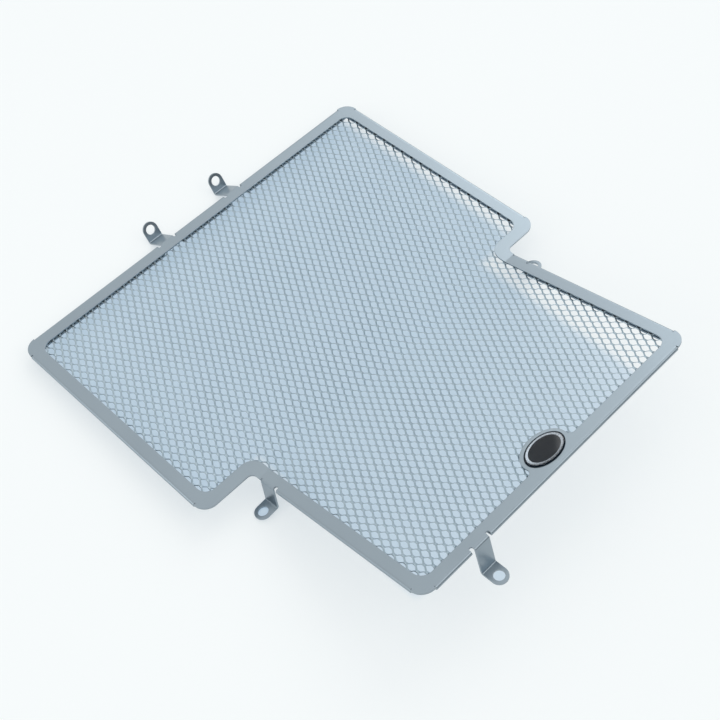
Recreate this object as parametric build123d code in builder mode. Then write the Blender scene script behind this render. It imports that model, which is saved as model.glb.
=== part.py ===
from build123d import *
from math import radians, sin, cos, tan, hypot
import os

# Radiator guard: a folded sheet frame with hemmed edges, an expanded mesh held in the hems,
# five mounting tabs bent from the sheet, and an oval badge. Millimetres.
# It lies face up on its tabs: +Z up, +Y towards the top edge, origin under the middle of its box.

# Sheet and edges
sheet = 1.2                  # thickness of the frame's sheet
mesh_thickness = 1.5         # over the raised strands
mesh_clearance = 0.05        # between the mesh and each face that holds it
border = 10.0                # from the window to the outside of a hemmed edge
cut_border = 9.8             # from the window to a cut edge, at the steps and the corners
slit = 0.5                   # between a hem or tab and the cut edge beside it
corner_radius = 10.8         # outside corners
step_radius = 4.5            # inward corners of the outline, at the steps
window_radius = 8.0          # corners of the window
window_step_radius = 11.0    # corners of the window beside the steps

# Plan, with lengths measured along the sheet from the fold
upper_width = 310.0          # window of the upper part
upper_length = 197.0         # from the fold to the top of the window
lower_width = 234.5          # window of the lower part
lower_length = 142.4         # from the fold to the bottom of the window
lower_shift = 4.5            # the lower part, badge and top tabs sit this far right of the middle
step_above_fold = 15.8       # from the fold to the step of the window

# Fold between the two parts
fold_angle = 12.0            # the lower part is bent up, towards the viewer
fold_radius = 2.0            # inside the bend, on the front

# Tabs
tab_width = 12.4
hole_diameter = 7.6
hole_reach = 8.3             # from the second bend to the hole
side_hole_reach = 7.7        # the same at the side tabs
bend_radius = 0.8            # inside each bend
tab_start = 0.3              # level part of a tab before its first bend
relief_width = 2.6           # round notch on each side of a tab
top_tab_spacing = 67.0
left_tab_drop = 8.2          # from the fold to the middle of the left tab
right_tab_drop = 7.1         # from the fold to the middle of the right tab
bottom_tab_offset = -76.0    # left of the badge
# first bend in degrees, length of the leg, rise of the eyelet in degrees, reach to the hole
top_tab = (33.0, 18.5, 60.0, hole_reach)
left_tab = (83.0, 17.7, -4.0, side_hole_reach)
right_tab = (83.0, 15.5, -4.0, side_hole_reach)
bottom_tab = (90.0, 26.0, -8.0, hole_reach)

# Badge and its pad
badge_length = 32.0
badge_height = 21.0
badge_centre = 5.6           # above the lower edge of the window
pad_margin = 2.8             # of the pad around the badge
pad_radius = 4.0             # where the pad runs into the border
label_thickness = 0.6
dome_inset = 0.5             # from the label's edge
dome_height = 1.4
dome_bevel = 1.0

# Expanded mesh, with fewer and larger openings than the real one
mesh_lap = 6.5               # under the border, past the window
mesh_rim = 3.5               # unpierced band along the mesh's edge
cell_across = 35.4
cell_along = 56.6
opening_across = 28.4
opening_along = 45.4
opening_side = 9.0           # straight side, beside the place where two strands join

# Sizes that follow
hem_radius = sheet + mesh_thickness / 2 + mesh_clearance
flat = border - hem_radius
upper_half = upper_width / 2
lower_left = lower_shift - lower_width / 2
lower_right = lower_shift + lower_width / 2
step_edge = step_above_fold - cut_border
relief_radius = relief_width / 2
eyelet_radius = tab_width / 2
mesh_top = sheet + mesh_clearance
mesh_corner = corner_radius - (cut_border - mesh_lap)
badge_y = badge_centre - lower_length


def crease(shape):
    """Inner corner between leg and eyelet: outward from the flat edge, and up."""
    turn, leg, rise, hole = shape
    out = tab_start + hem_radius * tan(radians(turn) / 2) + leg * cos(radians(turn))
    return out, -leg * sin(radians(turn))


def hole_centre(shape):
    """Middle of the hole on the front face: outward from the flat edge, and up."""
    out, up = crease(shape)
    rise = radians(shape[2])
    return out + shape[3] * cos(rise), up + shape[3] * sin(rise)


def top_foot(tilt):
    """Underside of a top tab's second bend, measured up from the fold."""
    turn, rise = radians(top_tab[0]), radians(top_tab[2])
    out, up = crease(top_tab)
    back = bend_radius * tan((turn + rise) / 2)
    centre_out = out - back * cos(turn) + bend_radius * sin(turn)
    centre_up = up + back * sin(turn) + bend_radius * cos(turn)
    return centre_up * cos(tilt) - (upper_length + flat + centre_out) * sin(tilt) - bend_radius - sheet


def side_foot(tilt):
    """Lowest point of the left eyelet's rim, measured up from the fold."""
    slope = tilt + radians(fold_angle)
    rise = radians(left_tab[2])
    up = hole_centre(left_tab)[1] - sheet * cos(rise)
    rim = eyelet_radius * hypot(sin(slope), sin(rise) * cos(slope))
    bend = fold_radius * (cos(tilt) - cos(slope))
    return bend + up * cos(slope) + left_tab_drop * sin(slope) - rim


def reach(slope, length, shape):
    """Level distance from the fold to the far rim of an eyelet."""
    out, up = hole_centre(shape)
    lean = slope + radians(shape[2])
    middle = (length + flat + out) * cos(slope) - up * sin(slope)
    return middle + eyelet_radius * cos(lean) + max(0, sheet * sin(lean))


# The guard tips until the top tabs and the left tab are equally low
least, most = 0.0, radians(10)
while most - least > 1e-9:
    tilt = (least + most) / 2
    if top_foot(tilt) > side_foot(tilt):
        least = tilt
    else:
        most = tilt

slope = tilt + radians(fold_angle)
top_reach = reach(-tilt, upper_length, top_tab)
bottom_reach = reach(slope, lower_length, bottom_tab) + fold_radius * (sin(slope) - sin(tilt))

# Front faces of the two parts, both with their origin on the fold
upper = Plane(
    origin=(0, (bottom_reach - top_reach) / 2, -top_foot(tilt)),
    x_dir=(1, 0, 0),
    z_dir=(0, sin(tilt), cos(tilt)),
)
bend_centre = upper.location * Pos(0, 0, fold_radius)
lower = Plane(bend_centre * Rot(-fold_angle, 0, 0) * Pos(0, 0, -fold_radius))
fold_section = Plane(upper.location * Rot(90, 0, 0))
bend_axis = Axis(bend_centre.position, (-1, 0, 0))


def upper_line(grow, corner, step_corner, past=0):
    """Outline of the upper window, grown outwards, open towards the fold."""
    top = upper_length + grow
    step = step_above_fold - grow
    FilletPolyline(
        (lower_left - grow, -past),
        (lower_left - grow, step),
        (-upper_half - grow, step),
        (-upper_half - grow, top),
        (upper_half + grow, top),
        (upper_half + grow, step),
        (lower_right + grow, step),
        (lower_right + grow, -past),
        radius=(0, step_corner, corner, corner, corner, corner, step_corner, 0),
        close=True,
    )


def lower_line(grow, corner, past=0):
    """Outline of the lower window, grown outwards, open towards the fold."""
    bottom = -lower_length - grow
    FilletPolyline(
        (lower_left - grow, past),
        (lower_right + grow, past),
        (lower_right + grow, bottom),
        (lower_left - grow, bottom),
        radius=(0, 0, corner, corner),
        close=True,
    )


def edge_section(plate, facing, distance, along):
    """Plane across a flat edge: x outwards, y up from the sheet, z clockwise along the edge."""
    return Plane(plate.location * Rot(0, 0, facing) * Pos(distance, -along, 0) * Rot(90, 0, 0))


def bend_line(facing, distance, start, stop):
    """Cuts a stretch of the outline back to the line where the sheet bends, clockwise."""
    depth = cut_border - flat
    with Locations(Location((0, 0), facing)):
        with Locations((distance + depth, -(start + stop) / 2)):
            Rectangle(2 * depth, stop - start, mode=Mode.SUBTRACT)


def hem(plate, facing, distance, start, stop):
    """The edge rolled under, with a flange back to the window."""
    with BuildSketch(edge_section(plate, facing, distance, start)) as section:
        with BuildLine():
            Line((-flat, -2 * hem_radius), (0, -2 * hem_radius))
            ThreePointArc((0, -2 * hem_radius), (hem_radius, -hem_radius), (0, 0))
            offset(amount=sheet, side=Side.LEFT)
        make_face()
    extrude(section.sketch, amount=stop - start)


def tab(plate, facing, distance, along, shape):
    """A strip bent down, then out to a round eyelet."""
    middle = edge_section(plate, facing, distance, along)
    with BuildSketch(middle) as profile:
        with BuildLine():
            FilletPolyline(
                (0, 0),
                (tab_start + hem_radius * tan(radians(shape[0]) / 2), 0),
                crease(shape),
                hole_centre(shape),
                radius=(hem_radius, bend_radius),
            )
            offset(amount=sheet, side=Side.RIGHT)
        make_face()
    extrude(profile.sketch, amount=tab_width / 2, both=True)
    eyelet = middle.location * Pos(*hole_centre(shape)) * Rot(0, 0, shape[2]) * Rot(-90, 0, 0)
    with BuildSketch(Plane(eyelet)) as end:
        Circle(eyelet_radius)
    extrude(end.sketch, amount=-sheet)
    with Locations(eyelet):
        Hole(hole_diameter / 2, depth=sheet)


# Frame
upper_side = upper_half + flat
left_side = flat - lower_left
right_side = lower_right + flat
top_edge = upper_length + flat
bottom_edge = lower_length + flat
beside = eyelet_radius + relief_radius
root = eyelet_radius + relief_width
top_left = lower_shift - top_tab_spacing / 2
top_right = lower_shift + top_tab_spacing / 2
bottom_at = lower_shift + bottom_tab_offset
upper_cut = upper_half + cut_border
left_cut = cut_border - lower_left
right_cut = lower_right + cut_border
top_cut = upper_length + cut_border
bottom_cut = lower_length + cut_border
hem_end = corner_radius + slit
side_top = step_edge + corner_radius
left_tab_side = left_tab_drop - eyelet_radius - slit
right_tab_side = right_tab_drop - eyelet_radius - slit

with BuildPart() as frame:
    with BuildSketch(upper):
        with BuildLine():
            upper_line(cut_border, corner_radius, step_radius)
        make_face()
        with BuildLine():
            upper_line(0, window_radius, window_step_radius)
        make_face(mode=Mode.SUBTRACT)
        bend_line(90, top_edge, corner_radius - upper_cut, upper_cut - corner_radius)
        bend_line(0, upper_side, corner_radius - top_cut, -side_top)
        bend_line(180, upper_side, side_top, top_cut - corner_radius)
        with Locations((top_left, top_edge), (top_right, top_edge)):
            with Locations((-beside, 0), (beside, 0)):
                Circle(relief_radius, mode=Mode.SUBTRACT)
    extrude(amount=-sheet)
    with BuildSketch(fold_section):
        with Locations((lower_left, -sheet / 2)):
            Rectangle(cut_border, sheet, align=(Align.MAX, Align.CENTER))
        with Locations((lower_right, -sheet / 2)):
            Rectangle(cut_border, sheet, align=(Align.MIN, Align.CENTER))
    revolve(axis=bend_axis, revolution_arc=fold_angle)
    with BuildSketch(lower) as lower_plate:
        with BuildLine():
            lower_line(cut_border, corner_radius)
        make_face()
        with BuildLine():
            lower_line(0, window_radius)
        make_face(mode=Mode.SUBTRACT)
        with Locations((lower_shift, badge_y)):
            Ellipse(badge_length / 2 + pad_margin, badge_height / 2 + pad_margin)
        pad_ends = [v for v in lower_plate.vertices() if abs(v.Y + lower_length) < 0.01
                    and abs(v.X - lower_shift) < badge_length]
        fillet(pad_ends, radius=pad_radius)
        bend_line(0, right_side, right_tab_side, bottom_cut - corner_radius)
        bend_line(180, left_side, corner_radius - bottom_cut, -left_tab_side)
        bend_line(-90, bottom_edge, corner_radius - right_cut, left_cut - corner_radius)
        with Locations((-left_side, -left_tab_drop - beside), (right_side, -right_tab_drop - beside)):
            Circle(relief_radius, mode=Mode.SUBTRACT)
        with Locations((bottom_at, -bottom_edge)):
            with Locations((-beside, 0), (beside, 0)):
                Circle(relief_radius, mode=Mode.SUBTRACT)
    extrude(amount=-sheet)

    hem(upper, 90, top_edge, hem_end - upper_cut, top_left - root)
    hem(upper, 90, top_edge, top_left + root, top_right - root)
    hem(upper, 90, top_edge, top_right + root, upper_cut - hem_end)
    hem(upper, 0, upper_side, hem_end - top_cut, -side_top - slit)
    hem(upper, 180, upper_side, side_top + slit, top_cut - hem_end)
    hem(lower, 0, right_side, right_tab_drop + root, bottom_cut - hem_end)
    hem(lower, 180, left_side, hem_end - bottom_cut, -left_tab_drop - root)
    hem(lower, -90, bottom_edge, hem_end - right_cut, -bottom_at - root)
    hem(lower, -90, bottom_edge, -bottom_at + root, left_cut - hem_end)

    tab(upper, 90, top_edge, top_left, top_tab)
    tab(upper, 90, top_edge, top_right, top_tab)
    tab(lower, 0, right_side, right_tab_drop, right_tab)
    tab(lower, 180, left_side, -left_tab_drop, left_tab)
    tab(lower, -90, bottom_edge, -bottom_at, bottom_tab)

# Mesh, one wall folded with the frame
gap_grow = mesh_lap - mesh_rim


def openings():
    """Six-sided openings in staggered rows, one row centred on the fold."""
    half = opening_across / 2
    corners = [
        (0, opening_along / 2),
        (-half, opening_side / 2),
        (-half, -opening_side / 2),
        (0, -opening_along / 2),
        (half, -opening_side / 2),
        (half, opening_side / 2),
    ]
    with GridLocations(cell_across, cell_along, 11, 9):
        Polygon(*corners, align=None)
    with GridLocations(cell_across, cell_along, 10, 8):
        Polygon(*corners, align=None)


with BuildPart() as mesh:
    with BuildSketch(upper.offset(-mesh_top)):
        with BuildLine():
            upper_line(mesh_lap, mesh_corner, window_step_radius - mesh_lap)
        make_face()
    extrude(amount=-mesh_thickness)
    with BuildSketch(fold_section):
        with Locations((lower_shift, -mesh_top - mesh_thickness / 2)):
            Rectangle(lower_width + 2 * mesh_lap, mesh_thickness)
    revolve(axis=bend_axis, revolution_arc=fold_angle)
    with BuildSketch(lower.offset(-mesh_top)):
        with BuildLine():
            lower_line(mesh_lap, mesh_corner)
        make_face()
    extrude(amount=-mesh_thickness)
    with BuildSketch(upper.offset(-mesh_top)):
        openings()
        with BuildLine():
            upper_line(gap_grow, window_radius, window_step_radius - gap_grow, past=mesh_top)
        make_face(mode=Mode.INTERSECT)
    extrude(amount=2 * mesh_thickness, both=True, mode=Mode.SUBTRACT)
    with BuildSketch(lower.offset(-mesh_top)):
        openings()
        with BuildLine():
            lower_line(gap_grow, window_radius, past=mesh_top)
        make_face(mode=Mode.INTERSECT)
    extrude(amount=2 * mesh_thickness, both=True, mode=Mode.SUBTRACT)

# Badge
with BuildPart() as badge_label:
    with BuildSketch(lower):
        with Locations((lower_shift, badge_y)):
            Ellipse(badge_length / 2, badge_height / 2)
    extrude(amount=label_thickness)

with BuildPart() as badge_dome:
    with BuildSketch(lower.offset(label_thickness)):
        with Locations((lower_shift, badge_y)):
            Ellipse(badge_length / 2 - dome_inset, badge_height / 2 - dome_inset)
    extrude(amount=dome_height)
    chamfer(badge_dome.faces().sort_by(Axis.Z)[-1].edges(), length=dome_bevel)

frame.part.label = "frame"
mesh.part.label = "mesh"
badge_label.part.label = "badge_label"
badge_dome.part.label = "badge_dome"

os.makedirs("parts", exist_ok=True)
export_step(frame.part, "parts/frame.step")
export_step(mesh.part, "parts/mesh.step")
export_step(badge_label.part, "parts/badge_label.step")
export_step(badge_dome.part, "parts/badge_dome.step")
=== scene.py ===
import bpy
import numpy as np
from math import radians
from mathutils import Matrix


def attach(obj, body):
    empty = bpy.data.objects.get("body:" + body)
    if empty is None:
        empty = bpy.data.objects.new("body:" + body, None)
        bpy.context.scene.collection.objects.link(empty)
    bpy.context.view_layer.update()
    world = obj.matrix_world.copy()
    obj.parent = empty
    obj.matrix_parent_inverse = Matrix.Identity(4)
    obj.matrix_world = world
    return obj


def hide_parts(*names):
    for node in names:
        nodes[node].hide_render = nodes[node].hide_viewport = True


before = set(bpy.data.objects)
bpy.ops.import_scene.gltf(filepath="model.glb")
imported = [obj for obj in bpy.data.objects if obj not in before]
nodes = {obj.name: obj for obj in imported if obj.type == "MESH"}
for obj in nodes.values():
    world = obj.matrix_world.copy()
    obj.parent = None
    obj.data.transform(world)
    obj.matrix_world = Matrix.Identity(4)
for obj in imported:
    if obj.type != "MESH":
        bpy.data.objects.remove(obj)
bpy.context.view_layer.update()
print("frame loaded:", ", ".join(sorted(nodes)))

millimetre = 0.001

# How the guard lies, in millimetres and degrees
rest = {
    "foldY": -30.0989,
    "foldZ": 18.2576,
    "tilt": 1.8961,  # slope of the wide part
    "foldAngle": 12.0,  # bend between the two parts
    "foldRadius": 2.0,  # from the bend's centre to the top of the sheet
    "measureDepth": 2.0,  # lengths in the bend are measured this far below the top
}

# Window of the frame, along the sheet from the fold
window = {
    "halfWidth": 155.0,
    "top": 197.0,
    "step": 15.8,  # where the lower part's notches cut into the wide part
    "lowerLeft": -112.75,
    "lowerRight": 121.75,
    "bottom": -142.4,
}


# A point of the flat sheet (x, along, up) carried onto the folded guard. Above the fold it only moves along
# the slope, in the bend it turns about the bend's centre, and below it goes on in the turned direction.
def foldSheet(x, along, up):
    turn = radians(rest["foldAngle"])
    arc = (rest["foldRadius"] + rest["measureDepth"]) * turn
    angle = np.clip(-along / arc, 0.0, 1.0) * turn
    straight = np.where(along > 0.0, along, np.minimum(along + arc, 0.0))
    radius = rest["foldRadius"] - up
    y = -radius * np.sin(angle) + straight * np.cos(angle)
    z = rest["foldRadius"] - radius * np.cos(angle) - straight * np.sin(angle)
    tilt = radians(rest["tilt"])
    worldY = rest["foldY"] + y * np.cos(tilt) + z * np.sin(tilt)
    worldZ = rest["foldZ"] - y * np.sin(tilt) + z * np.cos(tilt)
    return np.stack([x + 0.0 * y, worldY, worldZ], axis=-1) * millimetre


# A mesh object from whole arrays of corners and four-sided faces
def makePiece(name, points, quads, smooth):
    mesh = bpy.data.meshes.new(name)
    mesh.vertices.add(len(points))
    mesh.vertices.foreach_set("co", points.astype(np.float32).ravel())
    mesh.loops.add(quads.size)
    mesh.loops.foreach_set("vertex_index", quads.astype(np.int32).ravel())
    mesh.polygons.add(len(quads))
    mesh.polygons.foreach_set("loop_start", np.arange(0, quads.size, 4, dtype=np.int32))
    mesh.polygons.foreach_set("use_smooth", np.full(len(quads), smooth))
    mesh.update(calc_edges=True)
    mesh.validate()
    piece = bpy.data.objects.new(name, mesh)
    bpy.context.scene.collection.objects.link(piece)
    return piece


def assign(target, material):
    target.data.materials.clear()
    target.data.materials.append(material)


# Small helpers for material nodes
def newMaterial(name):
    material = bpy.data.materials.new(name)
    material.use_nodes = True
    tree = material.node_tree
    return material, tree, tree.nodes["Principled BSDF"]


def addNode(tree, kind, **values):
    node = tree.nodes.new(kind)
    for key, value in values.items():
        setattr(node, key, value)
    return node


# A node that works on two inputs, each a linked socket or a plain value
def combine(tree, kind, operation, first, second, output="Value"):
    node = addNode(tree, kind, operation=operation)
    for socket, value in ((node.inputs[0], first), (node.inputs[1], second)):
        if isinstance(value, (tuple, float)):
            socket.default_value = value
        else:
            tree.links.new(value, socket)
    return node.outputs[output]


def objectCoords(tree):
    return addNode(tree, "ShaderNodeTexCoord").outputs["Object"]


def noise(tree, coords, scale, detail=3.0):
    texture = addNode(tree, "ShaderNodeTexNoise")
    texture.inputs["Scale"].default_value = scale
    texture.inputs["Detail"].default_value = detail
    tree.links.new(coords, texture.inputs["Vector"])
    return texture.outputs["Fac"]


def mapRange(tree, source, low, high, fromLow=0.3, fromHigh=0.7, smooth=False):
    node = addNode(tree, "ShaderNodeMapRange", interpolation_type="SMOOTHSTEP" if smooth else "LINEAR")
    node.inputs["From Min"].default_value = fromLow
    node.inputs["From Max"].default_value = fromHigh
    node.inputs["To Min"].default_value = low
    node.inputs["To Max"].default_value = high
    tree.links.new(source, node.inputs["Value"])
    return node.outputs["Result"]


def mixColour(tree, factor, first, second):
    node = addNode(tree, "ShaderNodeMix", data_type="RGBA")
    tree.links.new(factor, node.inputs["Factor"])
    for socket, value in ((node.inputs["A"], first), (node.inputs["B"], second)):
        if isinstance(value, tuple):
            socket.default_value = (*value, 1.0)
        else:
            tree.links.new(value, socket)
    return node.outputs["Result"]


def bump(tree, height, strength, distance, normal=None):
    node = addNode(tree, "ShaderNodeBump")
    node.inputs["Strength"].default_value = strength
    node.inputs["Distance"].default_value = distance
    tree.links.new(height, node.inputs["Height"])
    if normal is not None:
        tree.links.new(normal, node.inputs["Normal"])
    return node.outputs["Normal"]


# Satin metal: a grey that drifts a little, finer grain in the gloss and a faint bump, brighter on worn edges.
# An edge is where the rounded normal turns away from the face's own.
def satinMetal(name, look):
    material, tree, shader = newMaterial(name)
    coords = objectCoords(tree)
    drift = noise(tree, coords, look["driftScale"])
    grain = noise(tree, coords, look["grainScale"], look["grainDetail"])
    colour = mixColour(tree, mapRange(tree, drift, 0.0, 1.0), look["dark"], look["light"])
    rounding = addNode(tree, "ShaderNodeBevel", samples=4)
    rounding.inputs["Radius"].default_value = look["edge"]
    rounded = rounding.outputs["Normal"]
    flat = addNode(tree, "ShaderNodeNewGeometry").outputs["Normal"]
    across = combine(tree, "ShaderNodeVectorMath", "DOT_PRODUCT", rounded, flat)
    worn = mapRange(tree, across, look["wear"], 0.0, *look["wornWhere"])
    colour = mixColour(tree, worn, colour, look["edgeColour"])
    tree.links.new(colour, shader.inputs["Base Color"])
    tree.links.new(mapRange(tree, grain, *look["roughness"]), shader.inputs["Roughness"])
    shader.inputs["Metallic"].default_value = 1.0
    relief = bump(tree, grain, look["bump"], look["bumpHeight"], rounded)
    tree.links.new(relief, shader.inputs["Normal"])
    return material


# Frame: the CAD solid with a satin titanium-grey finish
frameLook = {
    "dark": (0.290, 0.345, 0.388),
    "light": (0.308, 0.365, 0.408),
    "edgeColour": (0.38, 0.44, 0.48),
    "edge": 0.0004,
    "wear": 0.5,
    "wornWhere": (0.75, 0.98),
    "roughness": (0.28, 0.34),
    "driftScale": 18.0,
    "grainScale": 900.0,
    "grainDetail": 4.0,
    "bump": 0.10,
    "bumpHeight": 0.0002,
}

assign(nodes["frame"], satinMetal("satinFrame", frameLook))
print("frame finished")

# Mesh: strands run along the guard side by side, each swinging left and right to meet its neighbours in turn.
# A strand's place is side + swing * wave, and it rises and falls with the same wave, as raised mesh does.
meshLook = {
    "pitchAcross": 6.0,
    "pitchAlong": 10.0,
    "strandWidth": 1.35,
    "strandSheet": 0.55,
    "lean": -36.0,
    "depth": -2.2,  # the mesh's middle, below the top of the frame's sheet
    "cover": 4.5,  # how far the strands go on under the border
    "overlap": 0.05,  # how far two strands sink into each other where they meet
    "phases": (0.0, 0.13, 0.37, 0.50, 0.63, 0.87),
    "wave": (1.0, 0.86, -0.86, -1.0, -0.86, 0.86),
    "dark": (0.430, 0.515, 0.568),
    "light": (0.470, 0.555, 0.608),
    "edgeColour": (0.47, 0.55, 0.61),
    "edge": 0.0001,
    "wear": 0.3,
    "wornWhere": (0.75, 0.98),
    "roughness": (0.38, 0.50),
    "driftScale": 25.0,
    "grainScale": 1500.0,
    "grainDetail": 4.0,
    "bump": 0.08,
    "bumpHeight": 0.0002,
}


# The strands' sections are placed on the flat sheet, carried onto the fold, joined and cut off at the border
def buildMesh(look):
    spacing = look["pitchAcross"] / 2
    pitch, cover = look["pitchAlong"], look["cover"]
    lean = radians(look["lean"])
    width, thick = look["strandWidth"], look["strandSheet"]
    meeting = width * np.cos(lean)
    swing = (spacing - meeting) / 2 + look["overlap"]
    rise = meeting * np.tan(lean) / 2
    rows = np.arange(np.floor((window["bottom"] - cover) / pitch), np.ceil((window["top"] + cover) / pitch))
    along = ((rows[:, None] + np.array(look["phases"])) * pitch).ravel()
    waves = np.tile(look["wave"], len(rows))
    count = int((window["halfWidth"] + cover) // spacing)
    strands = np.arange(-count, count + 1)
    sign = np.where(strands % 2 == 0, 1.0, -1.0)
    middle = strands * spacing
    shift = sign[:, None] * waves
    x = middle[:, None] + swing * shift
    up = look["depth"] - rise * shift
    # four corners of a strand's section, leaning about the strand
    corner = np.array([[-1, -1], [1, -1], [1, 1], [-1, 1]]) * np.array([width, thick]) / 2
    sideways = corner[:, 0] * np.cos(lean) - corner[:, 1] * np.sin(lean)
    upwards = corner[:, 0] * np.sin(lean) + corner[:, 1] * np.cos(lean)
    gridX = x[:, :, None] + sideways
    gridUp = up[:, :, None] + upwards
    gridAlong = np.broadcast_to(along[None, :, None], gridX.shape)
    points = foldSheet(gridX, gridAlong, gridUp).reshape(-1, 3)
    # each strand ends under the border
    inLower = (middle > window["lowerLeft"] - cover) & (middle < window["lowerRight"] + cover)
    low = np.where(inLower, window["bottom"] - cover, window["step"] - cover)
    inside = (along[None, :] > low[:, None]) & (along[None, :] < window["top"] + cover)
    order = np.arange(len(points)).reshape(len(strands), len(along), 4)
    bothInside = inside[:, :-1] & inside[:, 1:]
    near, far = order[:, :-1][bothInside], order[:, 1:][bothInside]
    after = [1, 2, 3, 0]
    sides = np.stack([near, far, far[:, after], near[:, after]], axis=-1).reshape(-1, 4)
    first = inside.argmax(axis=1)
    last = len(along) - 1 - inside[:, ::-1].argmax(axis=1)
    every = np.arange(len(strands))
    caps = np.concatenate([order[every, first], order[every, last][:, ::-1]])
    used, quads = np.unique(np.concatenate([sides, caps]), return_inverse=True)
    piece = makePiece("expandedMesh", points[used], quads.reshape(-1, 4), False)
    assign(piece, satinMetal("satinMesh", look))
    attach(piece, "root")
    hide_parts("mesh")
    return piece


meshPiece = buildMesh(meshLook)
print("mesh built:", 2 * len(meshPiece.data.polygons), "triangles")

# Badge: a dark oval field inside a silver rim, under a clear dome
badge = {
    "x": 4.5,
    "along": -137.64,
    "labelTop": 0.6,
    "halfLength": 16.0,
    "halfHeight": 10.25,
    "ring": (0.78, 0.90),  # the silver ring, as shares of the label's size
    "ringEdge": 0.02,
    "field": (0.008, 0.014, 0.022),
    "silver": (0.34, 0.38, 0.42),
    "brightSilver": (0.40, 0.44, 0.48),
    "grainScale": 1200.0,
    "roughness": (0.22, 0.34),
}

dome = {
    "halfLength": 15.5,
    "halfHeight": 9.95,
    "height": 1.4,
    "fullness": 3.4,
    "sink": 0.02,  # how far it goes into the label
    "pole": 0.0008,  # radius of the smallest ring
    "rings": 28,
    "around": 96,
    "clear": (0.97, 0.985, 1.0, 1.0),
    "bending": 1.42,
    "rippleScale": 90.0,
    "roughness": (0.01, 0.04),
    "bump": 0.05,
    "bumpHeight": 0.0005,
}


# The print follows the distance from the label's middle, with its length and height as one
def labelMaterial(look):
    material, tree, shader = newMaterial("badgePrint")
    coords = objectCoords(tree)
    place = [np.array([look[key]]) for key in ("x", "along", "labelTop")]
    offset = combine(tree, "ShaderNodeVectorMath", "SUBTRACT", coords, tuple(foldSheet(*place)[0]), "Vector")
    slope = radians(rest["tilt"] + rest["foldAngle"])
    share = (
        1.0 / (look["halfLength"] * millimetre),
        1.0 / (look["halfHeight"] * millimetre * np.cos(slope)),
        0.0,
    )
    scaled = combine(tree, "ShaderNodeVectorMath", "MULTIPLY", offset, share, "Vector")
    length = addNode(tree, "ShaderNodeVectorMath", operation="LENGTH")
    tree.links.new(scaled, length.inputs[0])
    radius = length.outputs["Value"]
    start, end = look["ring"]
    past = mapRange(tree, radius, 0.0, 1.0, start, start + look["ringEdge"])
    before = mapRange(tree, radius, 1.0, 0.0, end, end + look["ringEdge"])
    ring = combine(tree, "ShaderNodeMath", "MULTIPLY", past, before)
    grain = noise(tree, coords, look["grainScale"])
    silver = mixColour(tree, mapRange(tree, grain, 0.0, 1.0), look["silver"], look["brightSilver"])
    tree.links.new(mixColour(tree, ring, look["field"], silver), shader.inputs["Base Color"])
    tree.links.new(ring, shader.inputs["Metallic"])
    tree.links.new(mapRange(tree, grain, *look["roughness"]), shader.inputs["Roughness"])
    shader.inputs["Specular IOR Level"].default_value = 0.0
    return material


# Clear resin with a faint ripple in its gloss and surface
def domeMaterial(look):
    material, tree, shader = newMaterial("clearResin")
    shader.inputs["Base Color"].default_value = look["clear"]
    shader.inputs["Transmission Weight"].default_value = 1.0
    shader.inputs["IOR"].default_value = look["bending"]
    ripple = noise(tree, objectCoords(tree), look["rippleScale"])
    tree.links.new(mapRange(tree, ripple, *look["roughness"]), shader.inputs["Roughness"])
    tree.links.new(bump(tree, ripple, look["bump"], look["bumpHeight"]), shader.inputs["Normal"])
    return material


# The dome over the label, on rings of an ellipse: height = full height * (1 - radius ^ fullness) ^ 0.5
def buildDome(look):
    rings, around = look["rings"], look["around"]
    radius = 1.0 - np.linspace(1.0, 0.0, rings) ** 2
    radius[0] = look["pole"]
    height = look["height"] * np.sqrt(np.clip(1.0 - radius ** look["fullness"], 0.0, 1.0))
    r = np.append(radius, 1.0)[:, None]
    z = np.append(height, 0.0)[:, None]
    angle = np.linspace(0.0, 2 * np.pi, around, endpoint=False)
    x = badge["x"] + look["halfLength"] * r * np.cos(angle)
    along = badge["along"] + look["halfHeight"] * r * np.sin(angle)
    up = badge["labelTop"] - look["sink"] + z + 0.0 * angle
    points = foldSheet(x, along, up).reshape(-1, 3)
    order = np.arange(len(points)).reshape(rings + 1, around)
    top = order[:rings]
    nextOne = np.roll(top, -1, axis=1)
    sides = np.stack([top[:-1], top[1:], nextOne[1:], nextOne[:-1]], axis=-1).reshape(-1, 4)
    # the small ring at the pole and the flat base are closed by a strip of faces from one side to the other
    step = np.arange(around // 2 - 1)
    strip = np.stack([step, step + 1, around - 2 - step, around - 1 - step], axis=-1)
    quads = np.concatenate([sides, order[0][strip], order[-1][strip][:, ::-1]])
    piece = makePiece("badgeDome", points, quads, True)
    assign(piece, domeMaterial(look))
    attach(piece, "root")
    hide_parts("badge_dome")


assign(nodes["badge_label"], labelMaterial(badge))
buildDome(dome)
print("badge finished")

# Floor: pale paper, with a cool shade under the guard and two of its eyelets. No real floor has it: it
# matches a grey that the photo shows through the mesh, and it is placed for the camera's side.
floorLook = {
    "size": 6.0,
    "colour": (0.960, 0.925, 0.850),
    "darker": (0.950, 0.915, 0.840),
    "patchScale": 1.5,
    "roughness": 0.9,
    "gloss": 0.1,
    "backdrop": (0.855, 0.935, 1.0),
    "shade": (0.472, 0.662, 0.855),
    "shades": (  # middle, half of the size, and width of the soft edge
        ((0.0, 0.0845, 0.0), (0.160, 0.0995, 1.0), 0.010),
        ((0.0065, -0.0685, 0.0), (0.1185, 0.0935, 1.0), 0.010),
        ((-0.0604, -0.1851, 0.0), (0.0055, 0.0055, 1.0), 0.0025),
        ((-0.1319, -0.042, 0.0), (0.0055, 0.0055, 1.0), 0.0025),
    ),
    "share": 0.60,
}


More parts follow.
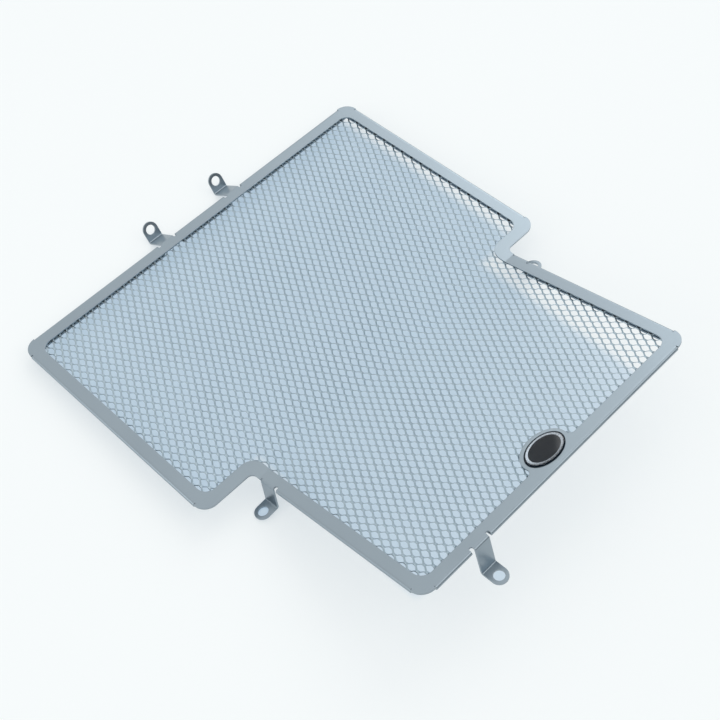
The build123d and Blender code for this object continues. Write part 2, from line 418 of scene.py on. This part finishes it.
# Inside a box the value is one and falls off smoothly to nothing over its edge: how far inside the nearer
# side a place lies, divided by the edge's width, and the two directions multiplied
def softBox(tree, coords, middle, half, edge):
    offset = combine(tree, "ShaderNodeVectorMath", "SUBTRACT", coords, middle, "Vector")
    away = addNode(tree, "ShaderNodeVectorMath", operation="ABSOLUTE")
    tree.links.new(offset, away.inputs[0])
    inside = combine(tree, "ShaderNodeVectorMath", "SUBTRACT", half, away.outputs["Vector"], "Vector")
    split = addNode(tree, "ShaderNodeSeparateXYZ")
    tree.links.new(inside, split.inputs["Vector"])
    fades = [mapRange(tree, split.outputs[axis], 0.0, 1.0, 0.0, edge, True) for axis in ("X", "Y")]
    return combine(tree, "ShaderNodeMath", "MULTIPLY", *fades)


# Matt paper in faint patches. Towards the camera, gloss and glass a share of it is an even backdrop, so
# that shadows stay light, and where a box is, the backdrop takes the cool shade.
def paperMaterial(look):
    material, tree, shader = newMaterial("paperFloor")
    coords = objectCoords(tree)
    patches = mapRange(tree, noise(tree, coords, look["patchScale"]), 0.0, 1.0)
    tree.links.new(mixColour(tree, patches, look["colour"], look["darker"]), shader.inputs["Base Color"])
    shader.inputs["Roughness"].default_value = look["roughness"]
    shader.inputs["Specular IOR Level"].default_value = look["gloss"]
    boxes = [softBox(tree, coords, *shade) for shade in look["shades"]]
    under = boxes[0]
    for box in boxes[1:]:
        under = combine(tree, "ShaderNodeMath", "MAXIMUM", under, box)
    even = addNode(tree, "ShaderNodeEmission")
    tree.links.new(mixColour(tree, under, look["backdrop"], look["shade"]), even.inputs["Color"])
    path = addNode(tree, "ShaderNodeLightPath").outputs
    seen = path["Is Camera Ray"]
    for kind in ("Is Glossy Ray", "Is Transmission Ray"):
        seen = combine(tree, "ShaderNodeMath", "MAXIMUM", seen, path[kind])
    blend = addNode(tree, "ShaderNodeMixShader")
    tree.links.new(combine(tree, "ShaderNodeMath", "MULTIPLY", seen, look["share"]), blend.inputs["Fac"])
    tree.links.new(shader.outputs["BSDF"], blend.inputs[1])
    tree.links.new(even.outputs["Emission"], blend.inputs[2])
    tree.links.new(blend.outputs["Shader"], tree.nodes["Material Output"].inputs["Surface"])
    return material


# One flat square round the guard
def buildFloor(look):
    half = look["size"] / 2
    points = np.array([[-half, -half, 0.0], [half, -half, 0.0], [half, half, 0.0], [-half, half, 0.0]])
    piece = makePiece("floor", points, np.array([[0, 1, 2, 3]]), False)
    assign(piece, paperMaterial(look))


buildFloor(floorLook)

# Light: an even studio room, with brighter zones behind, at the right, at the left and in front, and a
# dim one low in front. Each zone has a change of level, an azimuth and a height in degrees, and the
# cosines at which it starts and is full.
light = {
    "room": (0.99, 1.0, 1.0),
    "level": 0.90,
    "zones": (
        (0.10, 60.0, 44.0, 0.70, 0.93),
        (1.60, 24.0, 35.0, 0.915, 0.968),
        (1.20, 160.0, 20.0, 0.925, 0.985),
        (1.10, 305.0, 43.0, 0.93, 0.985),
        (-0.75, 298.0, 8.0, 0.88, 0.96),
    ),
}


# The room's brightness changes smoothly with how nearly a direction points at the middle of a zone
def buildLight(look):
    world = bpy.data.worlds.new("studio")
    bpy.context.scene.world = world
    world.use_nodes = True
    tree = world.node_tree
    background = tree.nodes["Background"]
    background.inputs["Color"].default_value = (*look["room"], 1.0)
    direction = addNode(tree, "ShaderNodeTexCoord").outputs["Generated"]
    total = look["level"]
    for change, azimuth, height, start, full in look["zones"]:
        around, above = radians(azimuth), radians(height)
        middle = (np.cos(above) * np.cos(around), np.cos(above) * np.sin(around), np.sin(above))
        towards = combine(tree, "ShaderNodeVectorMath", "DOT_PRODUCT", direction, middle)
        zone = mapRange(tree, towards, 0.0, change, start, full, True)
        total = combine(tree, "ShaderNodeMath", "ADD", total, zone)
    tree.links.new(total, background.inputs["Strength"])


buildLight(light)

# Camera
view = {
    "place": (-0.33327, -0.388827, 0.740459),
    "turn": (34.2878, 3.1885, -45.3131),
    "lens": 63.154,
    "film": 36.0,
    "nearest": 0.01,
}


def buildCamera(look):
    data = bpy.data.cameras.new("camera")
    data.lens = look["lens"]
    data.sensor_width = look["film"]
    data.clip_start = look["nearest"]
    camera = bpy.data.objects.new("camera", data)
    camera.location = look["place"]
    camera.rotation_euler = [radians(angle) for angle in look["turn"]]
    bpy.context.scene.collection.objects.link(camera)
    bpy.context.scene.camera = camera


buildCamera(view)
bpy.context.scene.view_settings.view_transform = "Standard"
print("floor, light and camera placed")
